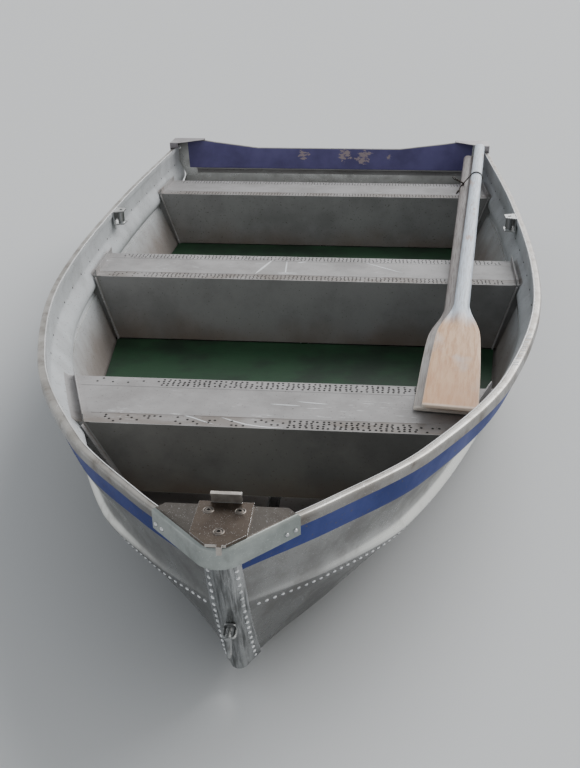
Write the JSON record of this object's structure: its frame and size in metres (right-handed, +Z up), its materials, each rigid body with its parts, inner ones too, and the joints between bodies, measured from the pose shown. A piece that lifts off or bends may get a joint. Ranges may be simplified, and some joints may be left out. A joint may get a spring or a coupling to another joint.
{
  "type": "rowing boat",
  "caption": "Small riveted aluminium rowing boat with box thwarts, rowlock sockets, a bow plate with shackle and stowed wooden oars.",
  "frame": {"origin": "on the floor under the middle of the boat's box: half its length, its centre plane, the bottom of the keel", "axes": "+Y aft, so the bow points to -Y; +X to port; +Z up"},
  "size_m": [1.4064, 3.0545, 0.4518],
  "materials": {
    "bare_aluminium": "satin rolled sheet, dulled and scratched",
    "gunwale_aluminium": "satin extrusion",
    "stem_aluminium": "dull brushed sheet",
    "bow_aluminium": "satin sheet",
    "base_steel": "brownish weathered plate",
    "shackle_steel": "galvanised, worn bright",
    "grey_paint": "light grey paint, scuffed",
    "blue_paint": "violet blue paint, peeling",
    "green_floor": "dark green painted panel",
    "oar_white": "weathered whitewashed wood and bare tan blade",
    "oar_grey": "weathered grey brown wood"
  },
  "bodies": {
    "hull": {"side_port": "bare_aluminium", "side_starboard": "bare_aluminium", "bottom_port": "bare_aluminium", "bottom_starboard": "bare_aluminium", "gunwale_fore_port": "gunwale_aluminium", "gunwale_fore_starboard": "gunwale_aluminium", "gunwale_aft_port": "gunwale_aluminium", "gunwale_aft_starboard": "gunwale_aluminium", "keel": "bare_aluminium", "strake_port": "bare_aluminium", "strake_starboard": "bare_aluminium", "stringer_port": "bare_aluminium", "stringer_starboard": "bare_aluminium", "floor_bearer": "bare_aluminium", "stem_cap": "stem_aluminium", "bow_plate": "bow_aluminium", "base_plate": "base_steel", "bow_eye": "shackle_steel", "thwart_bow": "grey_paint", "thwart_middle": "grey_paint", "thwart_aft": "grey_paint", "floor_bow": "green_floor", "floor_middle": "green_floor", "floor_aft": "green_floor", "floor_stern": "green_floor", "transom": "bare_aluminium", "transom_pad": "blue_paint", "transom_angle": "grey_paint", "corner_cap_port": "gunwale_aluminium", "corner_cap_starboard": "gunwale_aluminium", "rowlock_bracket_port": "shackle_steel", "rowlock_bracket_starboard": "shackle_steel"},
    "oars": {"oar_upper": "oar_white", "oar_lower": "oar_grey"},
    "shackle": {"bow_shackle": "shackle_steel"}
  },
  "joints": [
    {"name": "shackle_swing", "type": "hinge", "parent": "hull", "child": "shackle", "pos_m": [0, -1.45365, 0.201], "axis": [1, 0, 0], "range_deg": [-100, 25]},
    {"name": "oars_lift", "type": "slide", "parent": "hull", "child": "oars", "axis": [0, 0, 1], "range_m": [0, 0.4]}
  ]
}
